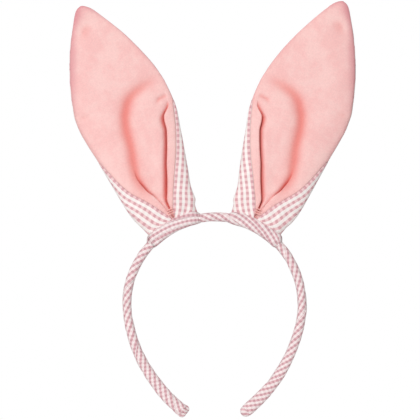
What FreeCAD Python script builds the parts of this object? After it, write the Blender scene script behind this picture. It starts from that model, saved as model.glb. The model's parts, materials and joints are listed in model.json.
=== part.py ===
"""Bunny ears headband: a sprung, padded Alice band wound with gingham cloth, with two folded fabric ears.

Frame: +Z is up and the front faces -Y. The origin is the centre of the head circle, which is the
centre of the band's round upper part. Left is -X and right is +X. All lengths are millimetres.

The band is made as one right half and mirrored. Its strip, padding and cloth are divided at a flex
point below each ear, where the arm has a round end that turns in a round cup of the crown.
Each ear is two cloth panels round a wadding layer and a shaping wire. The ear is a tall leaf that
is dished at the top, and its lower half folds forward on both sides like a cup.
"""

import FreeCAD, Part

import math
import os

import Sketcher
from FreeCAD import Placement, Rotation, Vector

# ---------------------------------------------------------------- driving dimensions

DIMENSIONS = [
    ("head_radius", 58.0),  # inside wall of the band's round part
    ("band_thickness", 6.0),  # across the padded, wound band, from inside to outside
    ("band_depth", 10.0),  # front to back
    ("band_corner", 2.4),  # rounding of the band's section
    ("arm_end_thickness", 8.2),  # the winding is doubled towards the arm's end
    ("cloth_thickness", 0.6),
    ("layer_gap", 0.05),  # between one layer of the band and the next
    ("core_thickness", 1.6),
    ("core_depth", 7.5),
    ("core_corner", 0.5),
    ("flex_angle", 58.0),  # from the top of the crown to the flex point
    ("flex_gap", 0.35),  # round the arm's round end
    ("flex_overlap", 4.0),  # degrees that each layer runs past the flex point before it is cut
    ("round_end_angle", 100.0),  # where the head circle passes into the straighter arm
    ("arm_radius", 105.0),
    ("arm_sweep", 41.0),
    ("end_cover_length", 5.0),
    ("end_cover_rounding", 3.4),
    ("ear_angle", 27.5),  # from the top of the crown to the middle of an ear
    ("root_half_angle", 16.5),
    ("root_thickness", 1.95),
    ("root_depth", 7.8),
    ("root_corner", 0.9),
    ("binding_half_angle", 17.5),
    ("binding_depth", 11.3),
    ("binding_corner", 2.8),
    ("binding_inset", 0.2),  # the binding stops this far short of the band's inside wall
    ("ear_lean_left", 22.5),  # from upright, outwards
    ("ear_lean_right", 20.9),
    ("ear_clearance", 7.4),  # radius about the tilt axis that the ear's foot keeps clear
    ("ear_half_thickness", 2.0),
    ("ear_tip_half_thickness", 1.5),
    ("plush_thickness", 0.8),
    ("gingham_thickness", 0.6),
    ("panel_gap", 0.35),  # between each cloth panel and the wadding
    ("wire_diameter", 1.0),
    ("wire_inset", 3.6),  # from the folded edge to the wire
    ("tack_diameter", 0.7),
    ("tack_length", 4.6),
    ("tack_spacing", 1.6),
]

# Each level of the ear, from its foot to its tip, in the ear's own frame:
# height, half widths (outer, inner), radius of the side rolls, depth of the back sheet,
# turn of the outer roll in degrees, its flap, turn of the inner roll, its flap,
# and the distance from each folded edge back to the seam (outer, inner).
EAR_LEVELS = [
    (2.5, 19.5, 19.0, 4.5, -4.5, 180, 12.4, 180, 8.3, 4.0, 2.5),
    (14, 23.5, 21.0, 5.0, -5.5, 180, 13.7, 180, 9.5, 6.0, 4.0),
    (24, 26.3, 21.8, 5.8, -6.5, 180, 12.0, 180, 7.6, 8.0, 5.5),
    (34, 28.0, 24.5, 6.5, -7.5, 178, 6.5, 180, 6.5, 9.5, 7.5),
    (45, 29.7, 27.0, 6.8, -8.5, 150, 7.5, 175, 5.3, 9.0, 8.5),
    (56, 31.0, 29.0, 6.8, -9.0, 110, 7.0, 165, 4.3, 5.5, 9.0),
    (66, 33.0, 31.0, 6.6, -9.0, 75, 6.0, 150, 5.0, 2.0, 8.0),
    (76, 34.8, 33.3, 6.5, -8.5, 55, 5.0, 125, 6.0, 0.5, 5.5),
    (86, 35.7, 34.3, 6.5, -7.5, 42, 5.0, 80, 5.0, 0.5, 2.5),
    (98, 35.7, 33.0, 7.0, -6.0, 34, 5.0, 48, 5.0, 0.5, 0.5),
    (117, 30.7, 28.7, 7.0, -4.0, 26, 4.0, 30, 4.0, 0.5, 0.5),
    (136, 23.3, 21.0, 6.0, -2.5, 20, 3.0, 20, 3.0, 0.5, 0.5),
    (150, 16.8, 14.0, 5.0, -1.5, 15, 2.0, 15, 2.0, 0.5, 0.5),
    (160, 11.0, 8.2, 4.0, -1.0, 10, 1.0, 10, 1.0, 0.4, 0.4),
    (165.5, 6.9, 4.2, 3.0, -0.8, 8, 0.6, 8, 0.6, 0.3, 0.3),
    (168, 4.4, 2.4, 2.0, -0.8, 6, 0.4, 6, 0.4, 0.2, 0.2),
]

OUT = "parts"
LOFT_SECTIONS = 6  # along each arm
CUTTER_SIZE = 16.0  # of the blocks that divide the band, larger than its section
STATION_STEPS = 8  # on each side and on the back of an ear's curve
LAP_STEPS = 2  # from a folded edge back to its seam
CAP_STEPS = 4  # round a folded edge
WIRE_CREST = 2.0  # how far the ear wire's top rises past the level below it

doc = FreeCAD.newDocument("bunny_ears_headband")
sheet = doc.addObject("Spreadsheet::Sheet", "sizes")
for row, (name, number) in enumerate(DIMENSIONS, start=1):
    sheet.set(f"A{row}", name)
    sheet.set(f"B{row}", str(number))
    sheet.setAlias(f"B{row}", name)
doc.recompute()


class Size:
    """A length with both its number and the spreadsheet expression that it comes from."""

    def __init__(self, number, text):
        self.number = number
        self.text = text

    def __add__(self, other):
        return Size(self.number + other.number, f"({self.text} + {other.text})")

    def __sub__(self, other):
        return Size(self.number - other.number, f"({self.text} - {other.text})")

    def times(self, factor):
        return Size(self.number * factor, f"({self.text} * {factor})")


def cell(alias):
    """The sheet's cell of that name."""
    return Size(float(sheet.get(alias)), f"sizes.{alias}")


def number(alias):
    return cell(alias).number


parts = []  # every finished sub-part, in the order it is written


def finish(feature, label):
    """Names a finished sub-part. Its label names its file."""
    feature.Label = label
    parts.append(feature)
    return feature


# ---------------------------------------------------------------- sketches of the band's section


def origin_plane(body, role):
    return [o for o in body.Origin.OriginFeatures if o.Role == role][0]


def section_sketch(body, name, angle, centre=(0.0, 0.0)):
    """A sketch across the band. Its x axis runs front to back through centre (x, z), and its y axis
    points outwards at that angle from the top."""
    sketch = body.newObject("Sketcher::SketchObject", name)
    sketch.AttachmentSupport = [(origin_plane(body, "YZ_Plane"), "")]
    sketch.MapMode = "FlatFace"
    turn = Rotation(Vector(1, 0, 0), angle)
    sketch.AttachmentOffset = Placement(Vector(0, centre[1], centre[0]), turn)
    return sketch


def bind(sketch, kind, *arguments, size):
    """Adds a dimension to a sketch and binds it to the sheet."""
    index = sketch.addConstraint(Sketcher.Constraint(kind, *arguments, size.number))
    sketch.setExpression(f"Constraints[{index}]", size.text)


def rounded_rectangle(sketch, low, high, depth, corner):
    """A rectangle from low to high above the sketch's x axis, centred on its y axis, with round corners."""
    half, radius = depth.number / 2, corner.number
    left, right, bottom, top = -half, half, low.number, high.number
    corners = [
        (Vector(right - radius, bottom + radius, 0), 1.5 * math.pi),
        (Vector(right - radius, top - radius, 0), 0.0),
        (Vector(left + radius, top - radius, 0), 0.5 * math.pi),
        (Vector(left + radius, bottom + radius, 0), math.pi),
    ]
    sides = [
        (Vector(left + radius, bottom, 0), Vector(right - radius, bottom, 0)),
        (Vector(right, bottom + radius, 0), Vector(right, top - radius, 0)),
        (Vector(right - radius, top, 0), Vector(left + radius, top, 0)),
        (Vector(left, top - radius, 0), Vector(left, bottom + radius, 0)),
    ]
    line = [sketch.addGeometry(Part.LineSegment(a, b)) for a, b in sides]
    arc = []
    for centre, start in corners:
        circle = Part.Circle(centre, Vector(0, 0, 1), radius)
        arc.append(sketch.addGeometry(Part.ArcOfCircle(circle, start, start + math.pi / 2)))
    for k in range(4):
        sketch.addConstraint(Sketcher.Constraint("Tangent", line[k], 2, arc[k], 1))
        sketch.addConstraint(Sketcher.Constraint("Tangent", arc[k], 2, line[(k + 1) % 4], 1))
    sketch.addConstraint(Sketcher.Constraint("Horizontal", line[2]))
    for k in (1, 3):
        sketch.addConstraint(Sketcher.Constraint("Vertical", line[k]))
    for k in (1, 2, 3):
        sketch.addConstraint(Sketcher.Constraint("Equal", arc[0], arc[k]))
    sketch.addConstraint(Sketcher.Constraint("Symmetric", line[0], 1, line[0], 2, -2))
    bind(sketch, "Radius", arc[0], size=corner)
    bind(sketch, "DistanceX", line[3], 1, line[1], 1, size=depth)
    bind(sketch, "DistanceY", -1, 1, line[0], 1, size=low)
    bind(sketch, "DistanceY", -1, 1, line[2], 1, size=high)


def revolve(body, sketch, sweep, name):
    """Turns a section about the sketch's x axis, away from the top of the crown, by sweep degrees."""
    feature = body.newObject("PartDesign::Revolution", name)
    feature.Profile = sketch
    feature.ReferenceAxis = (sketch, ["H_Axis"])
    feature.Angle = sweep.number
    feature.setExpression("Angle", sweep.text)
    return feature


# ---------------------------------------------------------------- the band's layers


class Layer:
    """One layer of the band, given by how its section lies about the band's middle line."""

    def __init__(self, name, inset=None, thickness=None, depth=None, corner=None):
        self.name, self.inset = name, inset
        self.thickness, self.depth, self.corner = thickness, depth, corner

    def section(self, middle, band_thickness):
        """low, high, depth and corner of the layer's outline where the band has that thickness."""
        if self.inset is None:
            half = self.thickness.times(0.5)
            return middle - half, middle + half, self.depth, self.corner
        half = band_thickness.times(0.5) - self.inset
        depth = cell("band_depth") - self.inset.times(2)
        return middle - half, middle + half, depth, cell("band_corner") - self.inset


GAP = cell("layer_gap")
CLOTH = cell("cloth_thickness")
core_outline = Layer("core", None, cell("core_thickness"), cell("core_depth"), cell("core_corner"))
core_channel = Layer(
    "core_channel",
    None,
    cell("core_thickness") + GAP.times(2),
    cell("core_depth") + GAP.times(2),
    cell("core_corner") + GAP,
)
padding_outline = Layer("padding", CLOTH + GAP)
wrap_outline = Layer("wrap", Size(0.0, "0"))
wrap_inside = Layer("wrap_inside", CLOTH)

BAND_LAYERS = [
    ("band_core", [core_outline]),
    ("band_padding", [padding_outline, core_channel]),
    ("band_wrap", [wrap_outline, wrap_inside]),
]

middle_radius = cell("head_radius") + cell("band_thickness").times(0.5)
round_end = math.radians(number("round_end_angle"))
arm_centre = (
    (middle_radius.number - number("arm_radius")) * math.sin(round_end),
    (middle_radius.number - number("arm_radius")) * math.cos(round_end),
)
arm_end_angle = number("round_end_angle") + number("arm_sweep")


def crown_layer(name, outlines):
    """One layer of the crown, running past both flex points."""
    body = doc.addObject("PartDesign::Body", f"{name}_crown_whole")
    reach = cell("flex_angle") + cell("flex_overlap")
    sketch = section_sketch(body, f"{name}_crown_section", -reach.number)
    for outline in outlines:
        rounded_rectangle(sketch, *outline.section(middle_radius, cell("band_thickness")))
    doc.recompute()
    revolve(body, sketch, reach.times(2), f"{name}_crown_turn")
    return body


def arm_layer(name, outlines):
    """One layer of the right arm: round as far as the head circle goes, then lofted to its end."""
    body = doc.addObject("PartDesign::Body", f"{name}_arm_whole")
    start = cell("flex_angle") - cell("flex_overlap")
    sketch = section_sketch(body, f"{name}_arm_section", start.number)
    for outline in outlines:
        rounded_rectangle(sketch, *outline.section(middle_radius, cell("band_thickness")))
    doc.recompute()
    revolve(body, sketch, cell("round_end_angle") - start, f"{name}_arm_turn")
    doc.recompute()
    sections = []
    for k in range(LOFT_SECTIONS):
        share = k / (LOFT_SECTIONS - 1)
        angle = number("round_end_angle") + share * number("arm_sweep")
        growth = (cell("arm_end_thickness") - cell("band_thickness")).times(share)
        station = section_sketch(body, f"{name}_arm_station_{k}", angle, arm_centre)
        for outline in outlines:
            section = outline.section(cell("arm_radius"), cell("band_thickness") + growth)
            rounded_rectangle(station, *section)
        sections.append(station)
    doc.recompute()
    loft = body.newObject("PartDesign::AdditiveLoft", f"{name}_arm_loft")
    loft.Profile = sections[0]
    loft.Sections = sections[1:]
    doc.recompute()
    return body


# ---------------------------------------------------------------- dividing the band at the flex points


def polar(radius, degrees, centre=(0.0, 0.0)):
    """The point at that radius and angle from the top, about centre (x, z)."""
    angle = math.radians(degrees)
    return Vector(centre[0] + radius * math.sin(angle), 0, centre[1] + radius * math.cos(angle))


def block(name, ahead):
    """A block on one side of the right flex plane: ahead of it, towards the arm, or behind it."""
    box = doc.addObject("Part::Box", name)
    box.Length = box.Width = box.Height = CUTTER_SIZE
    turn = Rotation(Vector(0, 1, 0), number("flex_angle"))
    corner = Vector(0 if ahead else -CUTTER_SIZE, -CUTTER_SIZE / 2, -CUTTER_SIZE / 2)
    pivot = polar(middle_radius.number, number("flex_angle"))
    box.Placement = Placement(pivot + turn.multVec(corner), turn)
    return box


def pivot_cylinder(name, radius):
    cylinder = doc.addObject("Part::Cylinder", name)
    cylinder.Radius = radius.number
    cylinder.setExpression("Radius", radius.text)
    cylinder.Height = CUTTER_SIZE
    pivot = polar(middle_radius.number, number("flex_angle"))
    start = pivot + Vector(0, CUTTER_SIZE / 2, 0)
    cylinder.Placement = Placement(start, Rotation(Vector(1, 0, 0), 90))
    return cylinder


def pair(kind, name, base, tool):
    """A boolean of two shapes."""
    feature = doc.addObject(kind, name)
    feature.Base = base
    feature.Tool = tool
    return feature


def mirrored(source, name):
    feature = doc.addObject("Part::Mirroring", name)
    feature.Source = source
    feature.Normal = Vector(1, 0, 0)
    return feature


half_band = cell("band_thickness").times(0.5)
arm_cutter = pair(
    "Part::Cut",
    "arm_cutter",
    block("behind_flex", ahead=False),
    pivot_cylinder("arm_round_end", half_band),
)
cup_cutter = pair(
    "Part::Fuse",
    "cup_cutter",
    block("ahead_of_flex", ahead=True),
    pivot_cylinder("crown_cup", half_band + cell("flex_gap")),
)
crown_cutter = pair(
    "Part::Fuse", "crown_cutter", cup_cutter, mirrored(cup_cutter, "cup_cutter_left")
)

for layer_name, outlines in BAND_LAYERS:
    crown = crown_layer(layer_name, outlines)
    crown_cut = pair("Part::Cut", f"{layer_name}_crown_cut", crown, crown_cutter)
    finish(crown_cut, f"{layer_name}_crown")
    arm = arm_layer(layer_name, outlines)
    arm_cut = pair("Part::Cut", f"{layer_name}_right_cut", arm, arm_cutter)
    finish(arm_cut, f"{layer_name}_right_arm")
    finish(mirrored(arm_cut, f"{layer_name}_left_cut"), f"{layer_name}_left_arm")


# ---------------------------------------------------------------- covers on the arms' ends


def end_cover():
    """The folded cloth that closes the right arm's end."""
    body = doc.addObject("PartDesign::Body", "end_cover_body")
    sketch = section_sketch(body, "end_cover_section", arm_end_angle, arm_centre)
    section = wrap_outline.section(cell("arm_radius"), cell("arm_end_thickness"))
    rounded_rectangle(sketch, *section)
    doc.recompute()
    pad = body.newObject("PartDesign::Pad", "end_cover_pad")
    pad.Profile = sketch
    pad.Length = number("end_cover_length")
    pad.setExpression("Length", cell("end_cover_length").text)
    doc.recompute()
    outward = polar(1.0, arm_end_angle + 90)
    far = max(range(len(pad.Shape.Faces)), key=lambda k: pad.Shape.Faces[k].CenterOfMass.dot(outward))
    rounding = body.newObject("PartDesign::Fillet", "end_cover_rounding_edge")
    rounding.Base = (pad, [f"Face{far + 1}"])
    rounding.Radius = number("end_cover_rounding")
    rounding.setExpression("Radius", cell("end_cover_rounding").text)
    doc.recompute()
    return body


cover = end_cover()
finish(cover, "band_end_cover_right")
finish(mirrored(cover, "end_cover_left"), "band_end_cover_left")


# ---------------------------------------------------------------- the ears' roots and bindings on the band


def arch(name, half_angle, low, high, depth, corner):
    """A piece that runs along the outside of the crown, to each side of the right ear's middle."""
    body = doc.addObject("PartDesign::Body", name)
    start = number("ear_angle") - half_angle.number
    sketch = section_sketch(body, f"{name}_section", start)
    rounded_rectangle(sketch, low, high, depth, corner)
    doc.recompute()
    revolve(body, sketch, half_angle.times(2), f"{name}_turn")
    doc.recompute()
    return body


outer_wall = cell("head_radius") + cell("band_thickness")
root_low = outer_wall + GAP
root_high = root_low + cell("root_thickness")
binding_inner = root_high + GAP
one_degree = Size(1.0, "1")

root = arch(
    "ear_root_body",
    cell("root_half_angle"),
    root_low,
    root_high,
    cell("root_depth"),
    cell("root_corner"),
)
finish(root, "ear_root_right")
finish(mirrored(root, "ear_root_body_left"), "ear_root_left")

binding_outside = arch(
    "binding_outside",
    cell("binding_half_angle"),
    cell("head_radius") + cell("binding_inset"),
    binding_inner + CLOTH,
    cell("binding_depth"),
    cell("binding_corner"),
)
binding_hollow = arch(
    "binding_hollow",
    cell("binding_half_angle") + one_degree,
    cell("head_radius") - CLOTH,
    binding_inner,
    cell("band_depth") + GAP.times(2),
    cell("band_corner") - GAP,
)
binding = pair("Part::Cut", "ear_binding_cut", binding_outside, binding_hollow)
finish(binding, "ear_binding_right")
finish(mirrored(binding, "ear_binding_cut_left"), "ear_binding_left")


# ---------------------------------------------------------------- the ears


def half_thickness_at(height):
    share = max(0.0, (height - 98) / 70)
    thick, thin = number("ear_half_thickness"), number("ear_tip_half_thickness")
    return thick + (thin - thick) * share


class Fold:
    """The middle of the ear's sheet at one level: flap, roll, back, roll and flap. Its points are
    (across, forward), with the outside of the head on the negative side, and distances along it
    start at the outer flap's edge."""

    def __init__(self, level):
        self.height, outer, inner, self.roll, self.back = level[:5]
        self.outer_turn, outer_flap = math.radians(level[5]), level[6]
        self.inner_turn, inner_flap = math.radians(level[7]), level[8]
        self.outer_lap, self.inner_lap = level[9:]
        self.half = half_thickness_at(self.height)
        self.left = self.half + self.reach(self.outer_turn, outer_flap) - outer
        self.right = inner - self.half - self.reach(self.inner_turn, inner_flap)
        self.outer_side = outer_flap + self.roll * self.outer_turn
        self.inner_side = inner_flap + self.roll * self.inner_turn
        self.length = self.outer_side + self.right - self.left + self.inner_side

    def reach(self, turn, flap):
        """How far a side goes out beyond where its roll leaves the back."""
        return self.roll * math.sin(min(turn, math.pi / 2)) + max(0.0, flap * math.cos(turn))

    def side(self, run, turn):
        """(out, forward, direction) of a side at a distance from where its roll leaves the back."""
        angle = min(run / self.roll, turn)
        flap = max(0.0, run - self.roll * turn)
        out = self.roll * math.sin(angle) + flap * math.cos(angle)
        forward = self.roll * (1 - math.cos(angle)) + flap * math.sin(angle)
        return out, forward, angle

    def beside(self, at, distance):
        """The point at that distance along the fold, moved towards the gingham back, or towards the
        plush where distance is negative."""
        if at < self.outer_side:
            out, forward, angle = self.side(self.outer_side - at, self.outer_turn)
            x, across = self.left - out, -math.sin(angle)
        elif at <= self.length - self.inner_side:
            x, forward, across, angle = self.left + at - self.outer_side, 0.0, 0.0, 0.0
        else:
            out, forward, angle = self.side(at - self.length + self.inner_side, self.inner_turn)
            x, across = self.right + out, math.sin(angle)
        return x + distance * across, self.back + forward - distance * math.cos(angle)

    def stations(self, outer_inset, inner_inset):
        """Distances along the fold: as many on each side as on the back."""
        marks = [
            outer_inset,
            self.outer_side,
            self.length - self.inner_side,
            self.length - inner_inset,
        ]
        found = []
        for start, end in zip(marks, marks[1:]):
            found += [start + (end - start) * k / STATION_STEPS for k in range(STATION_STEPS)]
        return found + [marks[-1]]

    def cap(self, at, away, distance):
        """Points round one edge of the sheet, whose outward direction is away."""
        x, y = self.beside(at, 0.0)
        angles = [away + math.pi / 2 - math.pi * k / CAP_STEPS for k in range(1, CAP_STEPS)]
        return [(x + distance * math.cos(a), y + distance * math.sin(a)) for a in angles]


def plush_line(fold, distance):
    """The front panel's line at one level: from the outer seam round the outer edge, over the whole
    inside of the fold, round the inner edge and on to the inner seam."""
    shares = [k / LAP_STEPS for k in range(LAP_STEPS + 1)]
    line = [fold.beside(fold.outer_lap * (1 - share), distance) for share in shares]
    line += fold.cap(0.0, math.pi - fold.outer_turn, distance)
    line += [fold.beside(at, -distance) for at in fold.stations(0.0, 0.0)]
    line += fold.cap(fold.length, fold.inner_turn, distance)
    line += [fold.beside(fold.length - fold.inner_lap * share, distance) for share in shares]
    return line


def gingham_line(fold, distance):
    """The back panel's line at one level, from seam to seam round the outside of the fold."""
    gap = CLOTH.number / 2
    stations = fold.stations(fold.outer_lap + gap, fold.inner_lap + gap)
    return [fold.beside(at, distance) for at in stations]


def lengths_along(points):
    total = [0.0]
    for (ax, ay), (bx, by) in zip(points, points[1:]):
        total.append(total[-1] + math.hypot(bx - ax, by - ay))
    return total


def shared_parameters(lines):
    """How far along its curve each point lies, from 0 to 1, taken as the mean of every line."""
    shares = []
    for line in lines:
        total = lengths_along(line)
        shares.append([at / total[-1] for at in total])
    return [sum(column) / len(column) for column in zip(*shares)]


def smooth_curve(points, parameters):
    curve = Part.BSplineCurve()
    curve.interpolate(Points=points, Parameters=parameters)
    return curve.toShape()


def halfway(low, high):
    return tuple((a + b) / 2 for a, b in zip(low, high))


# The sheet changes fastest in the gathered foot and where the inner flap opens, so there is
# another level between each two.
FOOT = [halfway(low, high) for low, high in zip(EAR_LEVELS[:3], EAR_LEVELS[1:4])]
OPENING = [halfway(low, high) for low, high in zip(EAR_LEVELS[6:9], EAR_LEVELS[7:10])]
FOLDS = [Fold(level) for level in sorted(EAR_LEVELS + FOOT + OPENING)]
WIRE_FOLDS = [Fold(level) for level in sorted(EAR_LEVELS[1:-2] + OPENING)]


def loft_between(sides_a, sides_b, side_sign):
    """A solid through every level of the ear, between two lines at each level."""
    onward = shared_parameters(sides_a + sides_b)
    backward = [1 - at for at in reversed(onward)]
    wires = []
    for fold, side_a, side_b in zip(FOLDS, sides_a, sides_b):
        a = [Vector(side_sign * x, -y, fold.height) for x, y in side_a]
        b = [Vector(side_sign * x, -y, fold.height) for x, y in reversed(side_b)]
        edges = [smooth_curve(a, onward), Part.makeLine(a[-1], b[0])]
        edges += [smooth_curve(b, backward), Part.makeLine(b[-1], a[0])]
        wires.append(Part.Wire(edges))
    return Part.makeLoft(wires, True, False)


def panel_loft(line_of, thickness, side_sign):
    """A panel of the ear, from the outside of the sheet inwards by its thickness."""
    sides_a = [line_of(fold, fold.half) for fold in FOLDS]
    sides_b = [line_of(fold, fold.half - thickness) for fold in FOLDS]
    return loft_between(sides_a, sides_b, side_sign)


def wadding_loft(inset, side_sign):
    """The layer between the two panels."""
    sides_a, sides_b = [], []
    for fold in FOLDS:
        stations = fold.stations(0.0, 0.0)
        sides_a.append([fold.beside(at, fold.half - inset) for at in stations])
        sides_b.append([fold.beside(at, inset - fold.half) for at in stations])
    return loft_between(sides_a, sides_b, side_sign)


def rounded_path(points):
    """Straight runs joined by tangent arcs that are as large as the runs allow."""
    edges = []
    start = points[0]
    for before, here, after in zip(points, points[1:], points[2:]):
        into, out = (here - before).normalize(), (after - here).normalize()
        turn = into.getAngle(out)
        reach = 0.45 * min((here - before).Length, (after - here).Length)
        radius = reach / math.tan(turn / 2)
        first, last = here - into * reach, here + out * reach
        inward = (out - into).normalize()
        middle = here + inward * (radius / math.cos(turn / 2) - radius)
        edges.append(Part.makeLine(start, first))
        edges.append(Part.Arc(first, middle, last).toShape())
        start = last
    edges.append(Part.makeLine(start, points[-1]))
    return Part.Wire(edges)


def wire_loop(side_sign):
    """The shaping wire: up inside one folded edge, over the tip and down the other."""
    outer_side, inner_side = [], []
    for fold in WIRE_FOLDS:
        inset = min(number("wire_inset"), fold.length / 4)
        for side, at in ((outer_side, inset), (inner_side, fold.length - inset)):
            x, y = fold.beside(at, 0.0)
            side.append(Vector(side_sign * x, -y, fold.height))
    top = WIRE_FOLDS[-1]
    crest = Vector(side_sign * (top.left + top.right) / 2, -top.back, top.height + WIRE_CREST)
    path = rounded_path(outer_side + [crest] + inner_side[::-1])
    along = (outer_side[1] - outer_side[0]).normalize()
    ring = Part.Wire(Part.makeCircle(number("wire_diameter") / 2, outer_side[0], along))
    return path.makePipeShell([ring], True, True)


def tack_stitches(side_sign):
    """Three short thread bars across the gap where the two flaps meet, just above the binding."""
    radius = number("tack_diameter") / 2
    bars = []
    for k in range(3):
        height = 9.5 + k * number("tack_spacing")
        forward = front_of_flaps(height) + radius + GAP.number
        start = Vector(side_sign * 2.0 - number("tack_length") / 2, -forward, height)
        bars.append(Part.makeCylinder(radius, number("tack_length"), start, Vector(1, 0, 0)))
    return Part.makeCompound(bars)


def front_of_flaps(height):
    """How far forward the flaps' faces stand at a height between the two lowest levels."""
    low, high = FOLDS[0], FOLDS[2]
    share = (height - low.height) / (high.height - low.height)
    faces = [fold.back + 2 * fold.roll + fold.half for fold in (low, high)]
    return faces[0] + (faces[1] - faces[0]) * share


def clear_of_binding(shape):
    """The shape without what lies nearer to the tilt axis than the ear's clearance."""
    reach = 2 * number("head_radius")
    start = Vector(-reach / 2, 0, 0)
    return shape.cut(Part.makeCylinder(number("ear_clearance"), reach, start, Vector(1, 0, 0)))


def ear_part(name, shape, side_sign, lean, trim=True):
    """Places one piece of an ear on the band, leaning outwards."""
    feature = doc.addObject("Part::Feature", f"{name}_solid")
    feature.Shape = clear_of_binding(shape) if trim else shape
    foot = polar(middle_radius.number, -side_sign * number("ear_angle"))
    feature.Placement = Placement(foot, Rotation(Vector(0, 1, 0), -side_sign * lean))
    return finish(feature, name)


plush, gingham = number("plush_thickness"), number("gingham_thickness")
wadding_inset = plush + number("panel_gap")
# The sign turns the ear's across direction into +X: the outside of the left ear is towards -X.
for side, side_sign, lean in (
    ("left", 1, number("ear_lean_left")),
    ("right", -1, number("ear_lean_right")),
):
    front = panel_loft(plush_line, plush, side_sign)
    back = panel_loft(gingham_line, gingham, side_sign)
    ear_part(f"ear_front_{side}", front, side_sign, lean)
    ear_part(f"ear_back_{side}", back, side_sign, lean)
    ear_part(f"ear_wadding_{side}", wadding_loft(wadding_inset, side_sign), side_sign, lean)
    ear_part(f"ear_wire_{side}", wire_loop(side_sign), side_sign, lean, trim=False)
    ear_part(f"ear_tack_{side}", tack_stitches(side_sign), side_sign, lean, trim=False)


# ---------------------------------------------------------------- check and write

doc.recompute()
for item in doc.Objects:
    if "Invalid" in item.State or "Error" in item.State:
        raise RuntimeError(f"{item.Name} failed to build: {item.State}")
for part in parts:
    if part.Shape.isNull() or not part.Shape.isValid():
        raise RuntimeError(f"{part.Label} has no valid shape")

os.makedirs(OUT, exist_ok=True)
for part in parts:
    part.Shape.exportStep(os.path.join(OUT, f"{part.Label}.step"))
    print(f"{part.Label:26s} {len(part.Shape.Solids)} solid(s) {part.Shape.Volume:10.1f} mm3")
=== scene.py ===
import math
import bmesh
import bpy
import numpy as np
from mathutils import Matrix, Vector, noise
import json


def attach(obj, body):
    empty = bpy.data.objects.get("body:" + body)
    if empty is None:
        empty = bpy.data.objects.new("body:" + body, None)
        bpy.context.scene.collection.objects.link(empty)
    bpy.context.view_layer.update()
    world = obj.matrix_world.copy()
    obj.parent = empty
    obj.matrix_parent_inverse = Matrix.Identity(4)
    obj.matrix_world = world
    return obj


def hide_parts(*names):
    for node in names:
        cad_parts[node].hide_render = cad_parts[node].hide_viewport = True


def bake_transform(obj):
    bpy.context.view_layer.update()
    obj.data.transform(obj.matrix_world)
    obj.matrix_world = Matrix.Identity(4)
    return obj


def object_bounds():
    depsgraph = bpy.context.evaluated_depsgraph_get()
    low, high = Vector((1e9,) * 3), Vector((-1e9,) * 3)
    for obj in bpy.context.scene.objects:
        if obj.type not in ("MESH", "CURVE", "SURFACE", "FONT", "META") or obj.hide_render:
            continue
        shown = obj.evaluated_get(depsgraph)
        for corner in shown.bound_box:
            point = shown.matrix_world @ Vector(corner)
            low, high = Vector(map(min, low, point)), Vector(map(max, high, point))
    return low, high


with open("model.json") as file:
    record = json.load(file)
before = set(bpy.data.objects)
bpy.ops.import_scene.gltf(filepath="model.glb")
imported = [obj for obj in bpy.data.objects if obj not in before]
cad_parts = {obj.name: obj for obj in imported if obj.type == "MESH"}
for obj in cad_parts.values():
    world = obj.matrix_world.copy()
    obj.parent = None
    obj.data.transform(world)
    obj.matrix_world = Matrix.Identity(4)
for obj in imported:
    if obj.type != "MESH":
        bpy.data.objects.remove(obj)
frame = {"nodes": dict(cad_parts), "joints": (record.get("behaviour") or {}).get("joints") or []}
cad_low, cad_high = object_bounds()

# Lengths below are in millimetres, and become metres as a mesh is made.
MM = 0.001

# The band: a round crown, then two arms that turn in on a larger circle, then a straight tip.
CROWN_RADIUS = 61.0
ROUND_END = math.radians(100.0)
CROWN_LENGTH = CROWN_RADIUS * ROUND_END
ARM_RADIUS = 105.0
ARM_SWEEP = math.radians(41.0)
ARM_LENGTH = ARM_RADIUS * ARM_SWEEP
PATH_LENGTH = CROWN_LENGTH + ARM_LENGTH
TIP_LENGTH = 5.0
BAND_THICKNESS = 5.1
TIP_THICKNESS = 7.5
BAND_DEPTH = 10.0
BAND_CORNER = 2.6
BAND_RISE = 0.3

# The wound strip: how far it moves along the band in one turn, and how far its lapping edge stands up.
LEAD = 46.5
STEP = 0.42

# One repeat of each check, and the thickness of each cloth.
BAND_PERIOD = 3.1
EAR_PERIOD = 4.0
BAND_CLOTH = 0.3
EAR_CLOTH = 0.4
PLUSH_CLOTH = 0.5

# The studio: how strongly the surround lights the object, and the power of its two lamps.
AMBIENT = 0.6
KEY_POWER = 29.0
FILL_POWER = 14.0


def table(*pairs):
    """A smooth function through (place, value) pairs that never overshoots them."""
    x, y = (np.array(column, float) for column in zip(*pairs))
    gap = np.diff(x)
    slope = np.diff(y) / gap
    tangent = np.zeros_like(y)
    before, after = slope[:-1], slope[1:]
    same_way = before * after > 0
    total = np.where(same_way, before + after, 1.0)
    tangent[1:-1] = np.where(same_way, 2 * before * after / total, 0.0)
    tangent[0], tangent[-1] = slope[0], slope[-1]

    def value(at):
        at = np.clip(at, x[0], x[-1])
        k = np.clip(np.searchsorted(x, at, side="right") - 1, 0, len(gap) - 1)
        t = (at - x[k]) / gap[k]
        low = y[k] * (1 + 2 * t) * (1 - t) ** 2 + tangent[k] * gap[k] * t * (1 - t) ** 2
        high = y[k + 1] * t * t * (3 - 2 * t) + tangent[k + 1] * gap[k] * t * t * (t - 1)
        return low + high

    return value


def smooth_step(low, high, value):
    """From 0 at low to 1 at high, level at both. Low may be the larger."""
    t = np.clip((value - low) / (high - low), 0.0, 1.0)
    return t * t * (3 - 2 * t)


def ripple(points, scale, seed):
    """Soft noise between about -1 and 1 at each point of an array whose last axis has two values."""
    flat = points.reshape(-1, 2) / scale
    values = [noise.noise(Vector((u, v, seed))) for u, v in flat]
    return np.array(values).reshape(points.shape[:-1])


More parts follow.
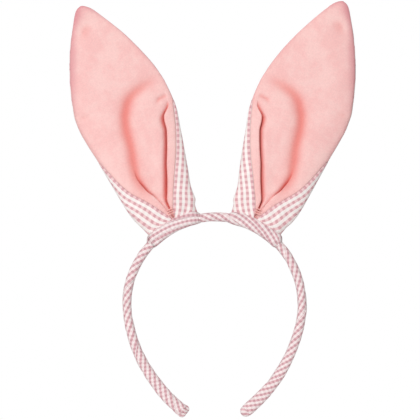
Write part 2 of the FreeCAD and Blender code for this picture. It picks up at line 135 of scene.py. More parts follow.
def unit(vectors):
    """Vectors with their length made 1."""
    return vectors / np.maximum(np.linalg.norm(vectors, axis=-1, keepdims=True), 1e-9)


def grid_normals(grid):
    """Unit normals of a grid of points, rows by columns."""
    return unit(np.cross(np.gradient(grid, axis=1), np.gradient(grid, axis=0)))


def new_piece(name, points, faces, corner_places, material):
    """A smooth object from points in millimetres, with a place on its cloth for each corner of its faces."""
    mesh = bpy.data.meshes.new(name)
    mesh.from_pydata((points * MM).tolist(), [], faces)
    layer = mesh.uv_layers.new(name="UVMap")
    layer.data.foreach_set("uv", corner_places.ravel())
    mesh.materials.append(material)
    mesh.shade_smooth()
    piece = bpy.data.objects.new(name, mesh)
    bpy.context.scene.collection.objects.link(piece)
    return piece


def cloth(name, grid, places, thickness, material, turn_over, painted_shade=None):
    """A sheet of real thickness from a grid of outer points in millimetres, closed round its rim."""
    rows, columns = grid.shape[:2]
    normals = grid_normals(grid) * (-1 if turn_over else 1)
    inner = grid - normals * thickness
    points = np.concatenate([grid.reshape(-1, 3), inner.reshape(-1, 3)])
    index = np.arange(rows * columns).reshape(rows, columns)
    under = index + rows * columns
    a, b, c, d = index[:-1, :-1], index[:-1, 1:], index[1:, 1:], index[1:, :-1]
    outside = np.stack([a, b, c, d], -1).reshape(-1, 4)
    inside = outside[:, ::-1] + rows * columns
    rim = np.concatenate([index[0, :], index[1:, -1], index[-1, -2::-1], index[-2:0:-1, 0]])
    below = np.concatenate([under[0, :], under[1:, -1], under[-1, -2::-1], under[-2:0:-1, 0]])
    edge = np.stack([np.roll(rim, -1), rim, below, np.roll(below, -1)], -1)
    faces = np.concatenate([outside, inside, edge])
    if turn_over:
        faces = faces[:, ::-1]
    both_sides = np.concatenate([places.reshape(-1, 2), places.reshape(-1, 2)])
    piece = new_piece(name, points, faces.tolist(), both_sides[faces.ravel()], material)
    # The painted shade of each point is kept for the plush to read.
    if painted_shade is not None:
        painted_shades = piece.data.attributes.new("painted_shade", "FLOAT", "POINT")
        painted_shades.data.foreach_set("value", np.tile(painted_shade.ravel(), 2).astype(np.float32))
    return piece


# Materials


class Nodes:
    """Shorthand for building one material."""

    def __init__(self, name):
        self.material = bpy.data.materials.new(name)
        self.material.use_nodes = True
        self.tree = self.material.node_tree
        self.tree.nodes.clear()
        self.output = self.add("ShaderNodeOutputMaterial")

    def add(self, kind, **settings):
        node = self.tree.nodes.new(kind)
        for key, value in settings.items():
            setattr(node, key, value)
        return node

    def put(self, value, socket):
        if isinstance(value, bpy.types.NodeSocket):
            self.tree.links.new(value, socket)
        else:
            socket.default_value = value

    def math(self, operation, first, second=0.0, third=0.0):
        node = self.add("ShaderNodeMath", operation=operation)
        for value, socket in zip((first, second, third), node.inputs):
            self.put(value, socket)
        return node.outputs[0]

    def ramp(self, value, low, high, to_low=0.0, to_high=1.0):
        node = self.add("ShaderNodeMapRange", interpolation_type="SMOOTHSTEP")
        for item, socket in zip((value, low, high, to_low, to_high), node.inputs):
            self.put(item, socket)
        return node.outputs[0]

    def mix(self, factor, first, second, blend="MIX"):
        node = self.add("ShaderNodeMix", data_type="RGBA", blend_type=blend)
        self.put(factor, node.inputs[0])
        self.put(first, node.inputs[6])
        self.put(second, node.inputs[7])
        return node.outputs[2]

    def grey(self, value):
        """A grey as light as a value."""
        node = self.add("ShaderNodeCombineColor")
        for socket in node.inputs:
            self.put(value, socket)
        return node.outputs[0]

    def noise(self, vector, scale, detail=2.0, roughness=0.5):
        node = self.add("ShaderNodeTexNoise")
        self.put(vector, node.inputs["Vector"])
        self.put(scale, node.inputs["Scale"])
        self.put(detail, node.inputs["Detail"])
        self.put(roughness, node.inputs["Roughness"])
        return node.outputs["Fac"]

    def bump(self, height, strength, distance, normal=None):
        node = self.add("ShaderNodeBump")
        self.put(strength, node.inputs["Strength"])
        self.put(distance, node.inputs["Distance"])
        self.put(height, node.inputs["Height"])
        if normal is not None:
            self.put(normal, node.inputs["Normal"])
        return node.outputs[0]

    def surface(self, colour, normal, **sockets):
        shader = self.add("ShaderNodeBsdfPrincipled")
        self.put(colour, shader.inputs["Base Color"])
        self.put(normal, shader.inputs["Normal"])
        for key, value in sockets.items():
            self.put(value, shader.inputs[key.replace("_", " ")])
        self.tree.links.new(shader.outputs[0], self.output.inputs[0])
        return self.material

    def cloth_place(self):
        """The place on the cloth, in units of its check."""
        return self.add("ShaderNodeUVMap", uv_map="UVMap").outputs[0]


def shade(red, green, blue):
    """A colour with full opacity."""
    return (red, green, blue, 1.0)


# A check, in its own repeats: how far its lines drift and over what scale, and where white turns pink.
DRIFT, DRIFT_SCALE = 0.16, 0.35
COLUMN_EDGE, ROW_EDGE = (0.225, 0.285), (0.22, 0.29)
THREAD_BUMP = 0.00006


def gingham(name, threads, ground, stripe, crossing, row_on_white):
    """Woven check: a pink column and a white column in each repeat, crossed by fainter rows."""
    n = Nodes(name)
    place = n.cloth_place()
    wander = n.add("ShaderNodeTexNoise")
    n.put(place, wander.inputs["Vector"])
    n.put(DRIFT_SCALE, wander.inputs["Scale"])
    shifted = n.add("ShaderNodeVectorMath", operation="MULTIPLY_ADD")
    n.put(wander.outputs["Color"], shifted.inputs[0])
    n.put((DRIFT, DRIFT, 0.0), shifted.inputs[1])
    n.put(place, shifted.inputs[2])
    parts = n.add("ShaderNodeSeparateXYZ")
    n.put(shifted.outputs[0], parts.inputs[0])
    across, along = parts.outputs[0], parts.outputs[1]
    column = n.ramp(n.math("PINGPONG", across, 0.5), *COLUMN_EDGE)
    row = n.ramp(n.math("PINGPONG", along, 0.5), *ROW_EDGE)
    white = n.mix(row, shade(*ground), shade(*row_on_white))
    pink = n.mix(row, shade(*stripe), shade(*crossing))
    colour = n.mix(column, white, pink)
    faded = n.ramp(n.noise(place, 0.8, 3.0), 0.3, 0.7, 0.93, 1.0)
    colour = n.mix(1.0, colour, n.grey(faded), "MULTIPLY")
    warp = n.math("SINE", n.math("MULTIPLY", across, 2 * math.pi * threads))
    weft = n.math("SINE", n.math("MULTIPLY", along, 2 * math.pi * threads))
    weave = n.math("MULTIPLY_ADD", n.math("MULTIPLY", warp, weft), 0.5, 0.5)
    thread = n.ramp(weave, 0.0, 0.55, 0.88, 1.0)
    colour = n.mix(1.0, colour, n.grey(thread), "MULTIPLY")
    slub = n.noise(place, 9.0, 3.0, 0.6)
    normal = n.bump(n.math("MULTIPLY_ADD", slub, 0.8, weave), 0.55, THREAD_BUMP)
    return n.surface(
        colour, normal, Roughness=0.86, Specular_IOR_Level=0.22,
        Sheen_Weight=0.18, Sheen_Roughness=0.45,
    )


# The pile's colours: brushed down and up, and the painted shade at an edge and in a crease.
BRUSHED_DOWN, BRUSHED_UP = (0.90, 0.52, 0.50), (0.925, 0.60, 0.57)
PAINTED_EDGE_COLOUR, PAINTED_CREASE_COLOUR = (0.72, 0.31, 0.335), (0.80, 0.21, 0.18)
PILE_BUMP = 0.0002


def plush(name):
    """Short pink pile, with painted shade from -1, a mauve at the ear's edges and tip, to 1, a deep red in
    the creases.
    """
    n = Nodes(name)
    place = n.cloth_place()
    # The painted shade of each point: negative at the edges and tip, positive in the creases.
    painted_shade = n.add("ShaderNodeAttribute", attribute_name="painted_shade").outputs["Fac"]
    patches = n.noise(place, 0.24, 2.0, 0.5)
    streaks = n.math("MULTIPLY", n.noise(place, 0.9, 4.0, 0.55), 0.4)
    brushed = n.math("MULTIPLY_ADD", patches, 0.6, streaks)
    fibre = n.noise(place, 22.0, 3.0, 0.65)
    open_pile = n.mix(n.ramp(brushed, 0.36, 0.64), shade(*BRUSHED_DOWN), shade(*BRUSHED_UP))
    # Painted shade at the ear's edges and tip.
    turned = n.mix(n.ramp(painted_shade, 0.0, -1.0), open_pile, shade(*PAINTED_EDGE_COLOUR))
    # Painted shade in the creases.
    painted_pile_shade = n.mix(n.ramp(painted_shade, 0.0, 1.0), turned, shade(*PAINTED_CREASE_COLOUR))
    fibres = n.ramp(fibre, 0.3, 0.7, 0.92, 1.04)
    blotches = n.ramp(n.noise(place, 3.2, 2.0), 0.3, 0.7, 0.965, 1.02)
    speckle = n.math("MULTIPLY", fibres, blotches)
    colour = n.mix(1.0, painted_pile_shade, n.grey(speckle), "MULTIPLY")
    tuft = n.noise(place, 6.0, 3.0, 0.6)
    normal = n.bump(n.math("MULTIPLY_ADD", fibre, 0.6, tuft), 0.7, PILE_BUMP)
    return n.surface(
        colour, normal, Roughness=0.95, Specular_IOR_Level=0.1,
        Sheen_Weight=0.22, Sheen_Roughness=0.4, Sheen_Tint=shade(1.0, 0.86, 0.84),
    )


def plain(name, low, high, roughness, metallic, grain, depth):
    """A fine-grained finish for the small hidden parts that CAD makes."""
    n = Nodes(name)
    place = n.add("ShaderNodeTexCoord").outputs["Object"]
    mottle = n.noise(place, grain, 4.0, 0.6)
    colour = n.mix(n.ramp(mottle, 0.3, 0.7), shade(*low), shade(*high))
    return n.surface(
        colour, n.bump(mottle, 0.4, depth), Roughness=roughness, Metallic=metallic,
    )


EAR_GINGHAM = gingham(
    "ear_gingham", threads=15.0, ground=(0.95, 0.90, 0.87), stripe=(0.88, 0.60, 0.61),
    crossing=(0.71, 0.38, 0.41), row_on_white=(0.95, 0.83, 0.81),
)
BAND_GINGHAM = gingham(
    "band_gingham", threads=12.0, ground=(0.91, 0.82, 0.81), stripe=(0.77, 0.48, 0.51),
    crossing=(0.60, 0.34, 0.37), row_on_white=(0.88, 0.71, 0.71),
)
PLUSH = plush("ear_plush")
CORE = plain("core_plastic", (0.78, 0.78, 0.76), (0.86, 0.86, 0.84), 0.45, 0.0, 900.0, 0.00002)
WIRE = plain("ear_wire", (0.50, 0.50, 0.52), (0.66, 0.66, 0.68), 0.32, 1.0, 2500.0, 0.00001)
THREAD = plain("thread", (0.84, 0.40, 0.37), (0.92, 0.50, 0.46), 0.85, 0.0, 4000.0, 0.00006)

for node, thing in frame["nodes"].items():
    if node.startswith("band_core"):
        finish = CORE
    elif node.startswith("ear_wire"):
        finish = WIRE
    elif node.startswith("ear_tack"):
        finish = THREAD
    else:
        finish = EAR_GINGHAM
    thing.data.materials.clear()
    thing.data.materials.append(finish)


# The ears. Each is worked in its own directions: up the ear, across it towards the middle of the
# head, and forward. Tables run up the ear from its foot.

EAR_TOP = 168.0

# Where the ear's two edges lie across, and how far forward they lie.
OUTER = table(
    (0, -18.6), (8, -21), (13, -23.3), (20, -25.7), (34, -28), (48, -30), (62, -32), (77, -34.8),
    (87, -36), (96, -35.8), (105, -34), (117, -30.7), (136, -23.3), (149, -16.8), (156.4, -12.5),
    (160, -10.3), (163.8, -7.7), (166, -5.8), (167.2, -4.1), (167.8, -2.4), (EAR_TOP, -1.5),
)
INNER = table(
    (0, 19), (8, 19.5), (13, 21.3), (20, 21.5), (34, 24.5), (48, 27.6), (62, 30.5), (77, 33.5),
    (87, 34), (96, 33.6), (105, 32), (117, 28.6), (136, 21), (149, 14.2), (154, 11.4), (159.4, 8.2),
    (163, 5.6), (165.5, 3.2), (166.8, 1.5), (167.6, 0.1), (EAR_TOP, -0.9),
)
OUTER_EDGE = table(
    (0, 0), (20, -0.4), (40, -1.4), (60, -3.2), (80, -4.2), (100, -4.2), (130, -3.2), (150, -2.2),
    (163, -1.0), (EAR_TOP, -0.2),
)
INNER_EDGE = table(
    (0, 0), (20, -0.4), (40, -1), (60, -1.6), (80, -1.8), (100, -1.0), (130, -0.4), (EAR_TOP, -0.2),
)

# How far forward the middle of the back lies, and the crests of the front: the outer lobe, the bulge
# between its creases and the inner flap, which are one height in the upper ear.
BACK = table(
    (0, -4.9), (20, -6.5), (45, -8.3), (60, -8.8), (76, -8), (98, -6), (117, -4.6), (136, -3.4),
    (160, -1.9), (165.5, -1.4), (EAR_TOP, -0.8),
)
UPPER_CREST = ((80, 3.0), (100, 1.9), (130, 1.5), (160, 1.2), (165.5, 0.9), (EAR_TOP, 0.3))
LOBE = table((0, 4.9), (20, 6.5), (40, 6.5), (60, 4.8), *UPPER_CREST)
BULGE = table((0, 2.5), (8, 3.0), (14, 4.6), (20, 5), (40, 5), (60, 4.2), *UPPER_CREST)
FLAP = table((0, 4.9), (20, 6.5), (40, 6.2), (60, 4.9), *UPPER_CREST)

# Where the plush meets the gingham, across. Beyond the ear's edge there is no seam on the front.
OUTER_SEAM = table(
    (3, 1.5), (6, 0.9), (8, -0.3), (12, -2.8), (19, -7.3), (27, -13.8), (34, -19.5), (45, -25.2),
    (53, -28.4), (60, -31.2), (66, -40), (EAR_TOP, -40),
)
INNER_SEAM = table(
    (3, 2.4), (8, 3.2), (14, 5), (32, 13.4), (49, 22), (67, 29), (80, 32.8), (88, 36), (96, 40),
    (EAR_TOP, 40),
)

# The two creases of the front, across: the lobe's rolled lip and the slit beside the flap. Above the
# place where each one dies out, its line still places the crests and spaces the mesh.
LIP = table(
    (0, 1.7), (8.5, 1.7), (14, -0.6), (19.5, -2.5), (25, -5), (31, -8.6), (42, -11), (61, -7),
    (76, -5), (100, -3), (136, -1.2), (EAR_TOP, -1.0),
)
SLIT = table(
    (0, 2.2), (8, 2.2), (17.7, 2.4), (25, 5.2), (33.7, 8.9), (43, 12.4), (51.5, 16.2), (61, 20.0),
    (66, 21.6), (70, 21.9), (74.5, 22.9), (77, 25.2), (80.4, 28.4), (86, 29.6), (96, 28), (105, 25.6),
    (117, 22), (136, 15.5), (149, 10.5), (161, 5), (166, 2.4), (EAR_TOP, -0.9),
)

# How deep each crease is, and how far its steep side leans over it.
LIP_DROP = table(
    (0, 0.6), (8, 1.2), (14, 1.7), (22, 2.2), (29, 3.2), (34, 3.0), (42, 1.2), (50, 0), (EAR_TOP, 0),
)
LIP_REACH = table((0, 0.4), (14, 0.7), (30, 0.9), (38, 0.4), (46, 0), (EAR_TOP, 0))
SLIT_DROP = table(
    (0, 1.0), (8, 2.0), (14, 3.0), (20, 4.2), (30, 5.2), (45, 5.6), (62, 5.4), (70, 4.4), (76, 3),
    (80, 2), (85, 0), (EAR_TOP, 0),
)
SLIT_REACH = table((0, 0.3), (10, 0.5), (20, 0.9), (60, 1.0), (74, 0.6), (82, 0), (EAR_TOP, 0))

# How wide and dark the shade along the outer edge is.
EDGE_SHADE = table(
    (0, 0.3), (40, 0.1), (90, 0.15), (115, 0.7), (135, 1.0), (160, 0.8), (EAR_TOP, 0.5),
)

# Soft dents in the front: where each one runs (up, across), its depth along the way, its width.
VALLEY = [
    (24, -6), (31, -9.2), (42, -11), (52, -9.3), (61, -7), (69, -6), (76, -5), (83, -3), (89, 0.3),
    (93, 3), (96, 7), (98.5, 13), (100, 20), (101, 27),
]
PINCH = [(83.5, 20.6), (86, 23), (87.2, 25.6), (87.4, 28.5), (86.8, 31)]
TIP_DIMPLE = [(145, -12), (149, -8), (153, -3), (156, 1)]
EDGE_DIMPLE = [(94, -36), (95, -30), (93, -22)]
DENTS = [
    (VALLEY, table((0, 0), (0.12, 1.5), (0.3, 2.3), (0.65, 2.4), (0.82, 2.0), (0.93, 1.4), (1, 0.5)), 4.7),
    (PINCH, table((0, 0), (0.4, 1.5), (0.8, 1.3), (1, 0)), 1.3),
    (TIP_DIMPLE, table((0, 0.4), (0.5, 1.15), (1, 0.2)), 4.5),
    (EDGE_DIMPLE, table((0, 1.1), (0.5, 0.8), (1, 0)), 2.0),
]


def dense(points, steps=12):
    """A smooth line through a few points."""
    place = np.arange(len(points))
    fine = np.linspace(0, len(points) - 1, steps * (len(points) - 1) + 1)
    return np.stack([table(*zip(place, column))(fine) for column in zip(*points)], -1)


def beside(line, points):
    """How far each point is from a line, and how far along the line its nearest place is, from 0 to 1."""
    start, step = line[:-1], np.diff(line, axis=0)
    length = np.linalg.norm(step, axis=1)
    before = np.concatenate([[0], np.cumsum(length)])
    away = points[:, None, :] - start[None]
    t = np.clip((away * step[None]).sum(-1) / (length**2)[None], 0, 1)
    gap = np.linalg.norm(away - t[..., None] * step[None], axis=-1)
    nearest = gap.argmin(1)
    which = np.arange(len(points))
    reach = (before[nearest] + t[which, nearest] * length[nearest]) / before[-1]
    return gap[which, nearest], reach


DENT_LINES = [(dense(points), depth, width) for points, depth, width in DENTS]

FOOT_RISE = 26.0  # how far up the ear the round of the binding still lifts it


def near_foot(s):
    """How strongly a row is lifted on to the round of the binding."""
    return 1 - smooth_step(0, FOOT_RISE, s)


def outline(s):
    """Outer and inner edge of a row, which the lift has moved by different amounts."""
    return OUTER(s - 0.9 * near_foot(s)), INNER(s + 1.9 * near_foot(s))


def inside(s):
    """The height at which the folds of a row are read, near its middle."""
    return s + 3.9 * near_foot(s)


def rounded(outer, inner, power, turn):
    """Places across a rounded section, and how high each one rises, from 0 at an edge to 1 in the middle."""
    middle, half = (outer + inner) / 2, (inner - outer) / 2
    share = 2.0 / power
    across = middle + half * np.sign(np.cos(turn)) * np.abs(np.cos(turn)) ** share
    return across, np.abs(np.sin(turn)) ** share


def edge_line(s, across, outer, inner):
    """How far forward the ear's edges lie, carried over from one to the other."""
    half = (inner - outer) / 2
    outer_ahead, inner_ahead = float(OUTER_EDGE(s)), float(INNER_EDGE(s))
    middle = (outer_ahead + inner_ahead) / 2
    places = (outer, outer + 0.45 * half, inner - 0.3 * half, inner)
    return np.interp(across, places, (outer_ahead, middle, middle, inner_ahead))


CREASE_WALL = 0.8  # how wide a crease's steep side is
LIP_SIDE, SLIT_SIDE = 4.0, 5.2  # how wide each crease's gentle side is, where there is room
LEAN_WIDTH = 0.9  # how far from a crease its steep side leans over it most


def into_crease(away, side):
    """How far the cloth has sunk into a crease: steep where away is negative, and over side beyond it."""
    gentle = np.clip(1 - away / side, 0, 1) ** 2
    return np.where(away < 0, smooth_step(-CREASE_WALL, 0, away), gentle)


def leaning(away):
    """How strongly a crease's steep side leans over it."""
    return np.exp(-(((away + LEAN_WIDTH) / LEAN_WIDTH) ** 2)) * (away < 0)


def painted_edge_shade(s, across, outer, inner):
    """How much painted shade lies at the ear's edges and tip."""
    wide, strong = 2.4 + 4.0 * float(EDGE_SHADE(s)), 0.35 + 0.4 * float(EDGE_SHADE(s))
    at_outer = strong * np.exp(-(((across - outer) / wide) ** 2))
    at_inner = 0.4 * np.exp(-(((inner - across) / 2.4) ** 2))
    return at_outer + at_inner + 0.3 * float(smooth_step(150, 166, s))


def front_of(s, count=700):
    """The front of one cross-section, from outer to inner edge.

    It gives how far across and forward each point lies, how much painted shade its pile has in the creases
    and at the edges, and how far across it lay before the creases leaned over.
    """
    outer, inner = outline(s)
    power = 2.35 + 0.65 * float(smooth_step(70, 30, s))
    across, rise = rounded(outer, inner, power, np.linspace(math.pi, 0, count))
    level = inside(s)
    lip, slit = float(LIP(level)), float(SLIT(level))
    gap = max(slit - lip, 0.2)
    places = np.array([outer, lip - 2.5, (lip + slit) / 2, slit + 1.5, inner])
    places = np.maximum.accumulate(places) + np.arange(5) * 1e-3
    lobe, bulge, flap = LOBE(s), BULGE(level), FLAP(s)
    crest = table(*zip(places, (lobe, lobe, bulge, flap, flap)))(across)

    away, lip_drop = across - lip, float(LIP_DROP(level))
    sunk = into_crease(away, min(LIP_SIDE, 0.5 * gap))
    drop = lip_drop * sunk
    # Painted shade in the lip's crease, where it is deep.
    painted_pile_shade = 0.5 * float(smooth_step(18, 32, level)) * np.clip(lip_drop / 3, 0, 1) * sunk
    shift = float(LIP_REACH(level)) * leaning(away)

    away, slit_drop, side = slit - across, float(SLIT_DROP(level)), min(SLIT_SIDE, 0.6 * gap)
    drop += slit_drop * into_crease(away, side)
    gentle = np.clip(1 - away / side, 0, 1) ** 1.3
    shadow = np.where(away < 0, 1 - smooth_step(0, 1.7, -away), gentle)
    # Painted shade in and beside the slit.
    painted_pile_shade += np.clip(slit_drop / 3.6, 0, 1) * shadow
    shift -= float(SLIT_REACH(level)) * leaning(away)

    here = np.stack([np.full(count, level), across], -1)
    for line, depth, width in DENT_LINES:
        distance, reach = beside(line, here)
        near, far = (distance / (0.78 * width)) ** 2, (distance / (1.6 * width)) ** 2
        amount = depth(reach) * (0.55 * np.exp(-near) + 0.45 * np.exp(-far))
        drop += amount
        # Painted shade in each dent, as deep as the dent.
        painted_pile_shade += 0.31 * amount
    # A little painted shade towards the foot, and painted edge shade at the edges and tip.
    painted_pile_shade += 0.1 * float(smooth_step(55, 20, s)) - painted_edge_shade(s, across, outer, inner)
    edge = edge_line(s, across, outer, inner)
    forward = edge + (crest - edge) * rise - drop * np.minimum(1, rise * 1.6)
    return across + shift, forward, np.clip(painted_pile_shade, -1, 1), across


def back_of(s, count=260):
    """The back of one cross-section, from inner to outer edge."""
    outer, inner = outline(s)
    across, rise = rounded(outer, inner, 2.5, np.linspace(0, math.pi, count))
    edge = edge_line(s, across, outer, inner)
    return across, edge + (BACK(s) - edge) * rise


def along_line(across, forward):
    """The distance along a line, at each of its points."""
    return np.concatenate([[0], np.cumsum(np.hypot(np.diff(across), np.diff(forward)))])


def spaced(start, end, count, crowd_start=False, crowd_end=False):
    """Places from start to end, closer together at a crease."""
    t = np.linspace(0, 1, count)
    if crowd_start and crowd_end:
        t = t * t * (3 - 2 * t) * 0.75 + t * 0.25
    elif crowd_end:
        t = 1 - (1 - t) ** 1.7
    elif crowd_start:
        t = t**1.7
    return start + (end - start) * t


# Points across the front's lobe, bulge and flap, and across the back, and the rows up the ear.
FRONT_COUNTS = (30, 26, 16)
BACK_COUNT = 110
ROWS = np.concatenate([
    np.linspace(0, 30, 31), np.linspace(31.2, 104, 61), np.linspace(105.4, 164, 43),
    np.array([164.9, 165.7, 166.3, 166.8, 167.2, 167.5, 167.8, EAR_TOP]),
])


def ear_rows():
    """Front and back of an ear as grids of (up, across, forward), with painted shade and distances round the
    back.
    """
    front, back, painted_shades, arcs = [], [], [], []
    for s in ROWS:
        across, forward, painted_pile_shade, plain_across = front_of(s)
        run = along_line(across, forward)
        level, (outer, inner) = inside(s), outline(s)
        seams = OUTER_SEAM(level), INNER_SEAM(level)
        outer_seam = np.interp(seams[0], plain_across, run) if seams[0] > outer else 0.0
        inner_seam = np.interp(seams[1], plain_across, run) if seams[1] < inner else run[-1]
        lip = np.interp(LIP(level), plain_across, run)
        slit = np.interp(SLIT(level), plain_across, run)
        lip = np.clip(lip, outer_seam + 0.15, inner_seam - 0.3)
        slit = np.clip(slit, lip + 0.1, inner_seam - 0.15)
        places = np.concatenate([
            spaced(outer_seam, lip, FRONT_COUNTS[0], crowd_end=True),
            spaced(lip, slit, FRONT_COUNTS[1], True, True)[1:],
            spaced(slit, inner_seam, FRONT_COUNTS[2], crowd_start=True)[1:],
        ])
        x, y = np.interp(places, run, across), np.interp(places, run, forward)
        front.append(np.stack([np.full(len(x), s), x, y], -1))
        # The painted shade at each point of the front.
        painted_shades.append(np.interp(places, run, painted_pile_shade))

        # The back runs from the inner seam over the ear's edge and round to the outer seam.
        back_across, back_forward = back_of(s)
        past_inner, past_outer = run > inner_seam, run < outer_seam
        ends = [inner_seam, outer_seam]
        ring = []
        for front_line, back_line in ((across, back_across), (forward, back_forward)):
            begin, finish = np.interp(ends, run, front_line)
            ring.append(np.concatenate([
                [begin], front_line[past_inner], back_line[1:-1], front_line[past_outer], [finish],
            ]))
        ring_x, ring_y = ring
        distance = along_line(ring_x, ring_y)
        middle = np.interp(0.0, -(back_across - (outer + inner) / 2), np.arange(len(back_across)))
        middle = np.interp(middle + past_inner.sum(), np.arange(len(distance)), distance)
        places = np.linspace(0, distance[-1], BACK_COUNT)
        x, y = np.interp(places, distance, ring_x), np.interp(places, distance, ring_y)
        back.append(np.stack([np.full(len(x), s), x, y], -1))
        arcs.append(places - middle)
    return np.array(front), np.array(back), np.array(painted_shades), np.array(arcs)


BACK_SEAMS = ((0, INNER_SEAM, 84.0, 14.0, 1.2), (-1, OUTER_SEAM, 62.0, 14.0, -1.7))


def gingham_places(arcs):
    """Where each point of an ear's back lies on its cloth. The check runs along the folded edges."""
    uv = np.zeros(arcs.shape + (2,))
    levels = inside(ROWS)
    for column, seam, meets, knee, shift in BACK_SEAMS:
        sign = np.sign(arcs[0, column])
        side = arcs * sign
        away = 1 if column else -1
        line = seam(levels) * away
        slope = -(seam(knee + 8.0) - seam(knee)) * away / 8.0
        straight = np.where(levels < knee, seam(knee) * away + (knee - levels) * slope, line)
        total = (side[:, column] + straight - line)[:, None]
        lean = np.arctan(np.abs(np.gradient(straight, levels)))
        lean = lean * smooth_step(meets, meets - 14, ROWS)
        kernel = np.ones(13) / 13
        lean = np.convolve(np.pad(lean, 6, mode="edge"), kernel, "valid")
        climbed = np.diff(levels) / np.cos((lean[1:] + lean[:-1]) / 2)
        climb = np.concatenate([[0], np.cumsum(climbed)])
        climb = climb - np.interp(meets, ROWS, climb) + meets
        at_edge = np.interp(meets, ROWS, total[:, 0])
        width = np.where(ROWS < meets, at_edge, total[:, 0])[:, None] - shift
        lean = lean[:, None]
        from_seam = total - side
        flap_u = width - from_seam * np.cos(lean)
        flap_v = climb[:, None] + from_seam * np.sin(lean)
        scale = (width - 0.35 * total * np.cos(lean)) / (0.65 * total)
        weight = smooth_step(0.4, 0.85, side / total)
        u = (side * scale) * (1 - weight) + flap_u * weight
        v = levels[:, None] * (1 - weight) + flap_v * weight
        uv[..., 0] = np.where(side >= 0, u * sign, uv[..., 0])
        uv[..., 1] = np.where(side >= 0, v, uv[..., 1])
    return uv / EAR_PERIOD


EAR_FRONT, EAR_BACK, EAR_PAINTED_SHADE, EAR_ARCS = ear_rows()
EAR_BACK_PLACES = gingham_places(EAR_ARCS)


BINDING_ROUND = 65.0  # the radius of the binding's outside about the middle of the head
SEAM_DIP, SEAM_WIDTH = 0.45, 0.8  # the groove where two cloths are joined


def uneven(grid, local, turn_over, seed):
    """Small unevenness, which both cloths share along their seams."""
    normals = grid_normals(grid) * (-1 if turn_over else 1)
    up = local[..., 0]
    spot = local[..., :2] + np.array([0, seed * 40.0])
    soft = ripple(spot, 17.0, seed) * 0.45 * (0.2 + 0.8 * np.abs(normals[..., 1]))
    low_down = 1 - smooth_step(4, 34, up)
    pleats = ripple(local[..., [1, 0]] * np.array([1.0, 0.16]), 3.4, seed + 5.0)
    settle = smooth_step(0, 5, up) * smooth_step(EAR_TOP, 158, up)
    return grid + normals * ((soft + pleats * 0.5 * low_down) * settle)[..., None]


def grooved(grid, turn_over):
    """Dip both rims of a cloth, where a seam joins it to the other one."""
    normals = grid_normals(grid) * (-1 if turn_over else 1)
    run = np.linalg.norm(np.diff(grid, axis=1), axis=2)
    from_start = np.concatenate([np.zeros((len(grid), 1)), np.cumsum(run, 1)], 1)
    from_end = from_start[:, -1:] - from_start
    dip = np.exp(-((from_start / SEAM_WIDTH) ** 2)) + np.exp(-((from_end / SEAM_WIDTH) ** 2))
    return grid - normals * (SEAM_DIP * dip * smooth_step(EAR_TOP, 155, ROWS)[:, None])[..., None]


def make_ear(side, seed, longer):
    """One ear's plush front and gingham back."""
    joint = next(j for j in frame["joints"] if j["name"] == f"{side}_ear_tilt")
    middle = np.array(joint["pos_m"]) / MM
    axis = np.array(joint["axis"])
    up = np.array([-axis[2], 0, axis[0]])
    inward = axis if side == "left" else -axis
    forward = np.array([0.0, -1.0, 0.0])

    def placed(local):
        """Points in the head's frame, with the foot's rows on the round of the binding that holds them."""
        s, across, ahead = local[..., 0], local[..., 1], local[..., 2]
        base = middle + across[..., None] * inward
        height = base @ up
        to_round = -height + np.sqrt(np.maximum(height**2 - (base**2).sum(-1) + BINDING_ROUND**2, 0))
        s = s + to_round * near_foot(s) + longer * smooth_step(90, EAR_TOP, s)
        return middle + s[..., None] * up + across[..., None] * inward + ahead[..., None] * forward

    turn_over = side == "right"
    front, back = (
        grooved(uneven(placed(local), local, turn_over, seed), turn_over) for local in (EAR_FRONT, EAR_BACK)
    )
    front_places = EAR_FRONT[..., [1, 0]] / EAR_PERIOD
    plush_piece = cloth(f"ear_plush_{side}", front, front_places, PLUSH_CLOTH, PLUSH, turn_over, EAR_PAINTED_SHADE)
    gingham_piece = cloth(
        f"ear_gingham_{side}", back, EAR_BACK_PLACES, EAR_CLOTH, EAR_GINGHAM, turn_over,
    )
    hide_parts(f"ear_front_{side}", f"ear_wadding_{side}", f"ear_wire_{side}")
    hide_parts(f"ear_back_{side}")
    for piece in (plush_piece, gingham_piece):
        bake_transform(piece)


make_ear("left", seed=1.0, longer=0.0)
make_ear("right", seed=2.0, longer=1.8)


# The wound band. A place on it is how far along it is, from the crown's top and positive to the
# right, and how far round its section, as a share that starts at the outside and goes by the front.


def section(share, thickness, depth, corner):
    """Outward and forward distance on a rounded rectangle, the outward normal there and the way round it.

    Where the rectangle is thinner than its two corners, a side has a negative length and the corner
    after it starts that much earlier.
    """
    tall, deep = thickness / 2 - corner, depth / 2 - corner
    arc = math.pi / 2 * corner
    total = 4 * (tall + deep + arc)
    run = (share % 1.0) * total
    out, ahead, angle = np.zeros_like(run), np.zeros_like(run), np.zeros_like(run)
    # Each side is followed by its corner. The first side is entered at its middle, and finished last.
    begin = -deep
    for side in range(5):
        cos, sin = (1, 0, -1, 0)[side % 4], (0, 1, 0, -1)[side % 4]
        away, half = (deep, tall) if side % 2 else (tall, deep)
        t = run - begin
        straight = np.clip(t, 0, 2 * half) - half
        turned = side * math.pi / 2 + np.clip((t - 2 * half) / corner, 0, math.pi / 2)
        here = t >= np.minimum(0, 2 * half)
        out = np.where(here, cos * away - sin * straight + corner * np.cos(turned), out)
        ahead = np.where(here, sin * away + cos * straight + corner * np.sin(turned), ahead)
        angle = np.where(here, turned, angle)
        begin = begin + 2 * half + arc
    return out, ahead, np.cos(angle), np.sin(angle), total


